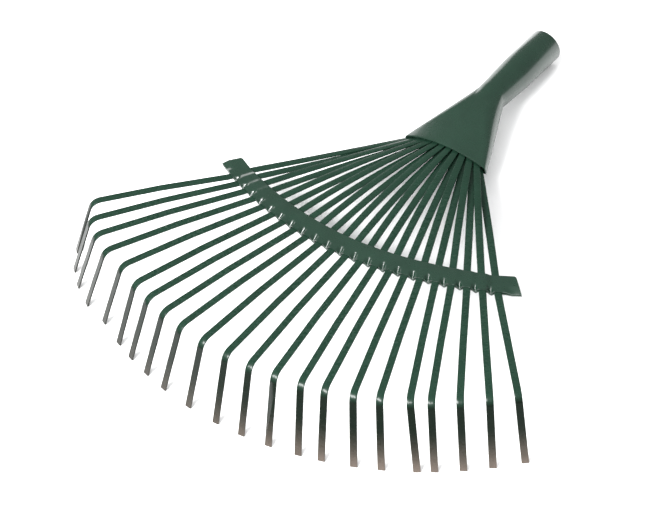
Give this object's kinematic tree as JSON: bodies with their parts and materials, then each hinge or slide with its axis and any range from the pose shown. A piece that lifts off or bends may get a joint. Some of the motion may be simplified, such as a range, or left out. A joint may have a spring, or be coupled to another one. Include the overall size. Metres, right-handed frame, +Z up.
{
  "type": "lawn rake head",
  "caption": "Steel lawn rake head: a fan of flat spring tines with bent teeth, a two-plate curved spreader and a stamped socket that takes a round handle.",
  "frame": {"origin": "Centre of the footprint, on the ground under the head as it lies on its tooth tips and the socket's end.", "axes": "+X across the fan to the right seen from behind the handle, +Y towards the handle, +Z up."},
  "size_m": [0.4333, 0.4288, 0.049],
  "materials": {
    "green_paint": "gloss"
  },
  "bodies": {
    "root": {"socket": "green_paint", "root_clamp_plate": "green_paint", "upper_spreader_plate": "green_paint", "lower_spreader_plate": "green_paint", "tine_01": "green_paint", "tine_02": "green_paint", "tine_03": "green_paint", "tine_04": "green_paint", "tine_05": "green_paint", "tine_06": "green_paint", "tine_07": "green_paint", "tine_08": "green_paint", "tine_09": "green_paint", "tine_10": "green_paint", "tine_11": "green_paint", "tine_12": "green_paint", "tine_13": "green_paint", "tine_14": "green_paint", "tine_15": "green_paint", "tine_16": "green_paint", "tine_17": "green_paint", "tine_18": "green_paint", "tine_19": "green_paint", "tine_20": "green_paint", "tine_21": "green_paint", "tine_22": "green_paint"}
  },
  "joints": []
}
